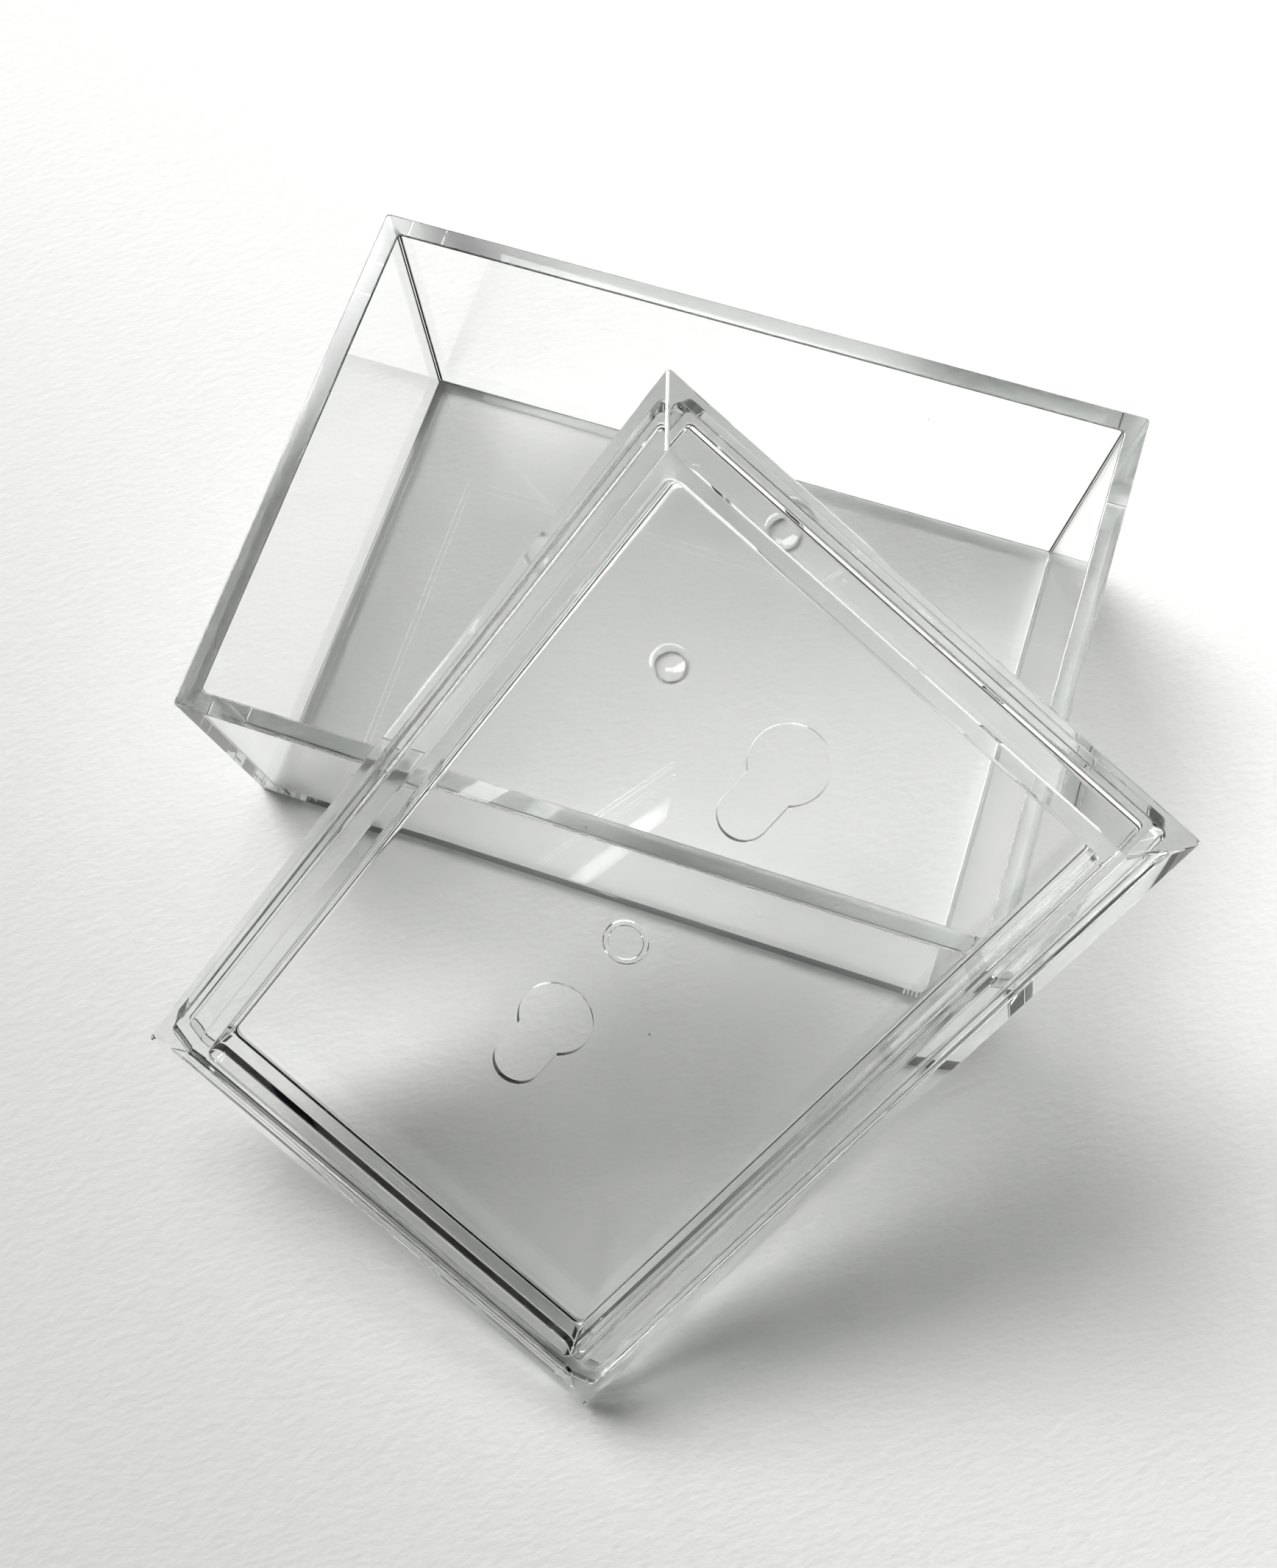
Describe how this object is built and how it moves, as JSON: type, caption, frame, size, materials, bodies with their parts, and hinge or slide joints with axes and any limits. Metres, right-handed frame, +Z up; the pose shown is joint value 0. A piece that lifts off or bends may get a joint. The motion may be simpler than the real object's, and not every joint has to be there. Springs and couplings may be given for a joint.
{
  "type": "storage box with lid",
  "caption": "Clear moulded rectangular storage box with a separate bevelled plug-in lid that has keyholes, shown open with its lid leaning on the rim.",
  "frame": {"origin": "centre of the underside of the box, on the table", "axes": "+X along the long side of the box, +Z up, -Y towards the lid that leans on the box"},
  "size_m": [0.1125, 0.1333, 0.0652],
  "materials": {
    "clear_plastic": "clear, polished, with moulding marks and fine scratches"
  },
  "bodies": {
    "box": {"box": "clear_plastic"},
    "lid": {"lid": "clear_plastic"}
  },
  "joints": [
    {"name": "lid_lift", "type": "slide", "parent": "box", "child": "lid", "axis": [0, 0, 1], "range_m": [0, 0.06]}
  ]
}
